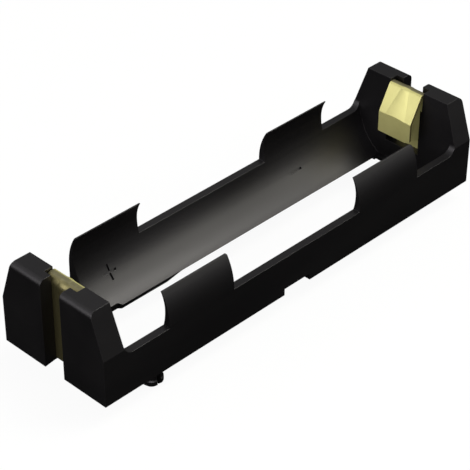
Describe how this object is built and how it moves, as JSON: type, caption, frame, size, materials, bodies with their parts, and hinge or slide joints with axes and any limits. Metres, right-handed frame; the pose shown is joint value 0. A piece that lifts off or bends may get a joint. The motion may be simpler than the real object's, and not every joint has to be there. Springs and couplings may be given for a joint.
{
  "type": "cylindrical cell holder",
  "caption": "Board-mounted holder for a cylindrical cell: open moulded cradle with end blocks, thin gripping arms and a folded spring contact at each end.",
  "frame": {"origin": "centre of the body's outline, on the plane of the face that lies on the board", "axes": "+X runs along the cell to the negative end, +Y to the side with the polarity marks, +Z away from the board"},
  "size_m": [0.077, 0.0206, 0.0178],
  "materials": {
    "moulding": "black filled nylon, satin as moulded",
    "contact_metal": "thin gold plating over spring strip, satin"
  },
  "bodies": {
    "root": {"holder_body": "moulding", "positive_contact": "contact_metal", "negative_contact": "contact_metal"}
  },
  "joints": []
}
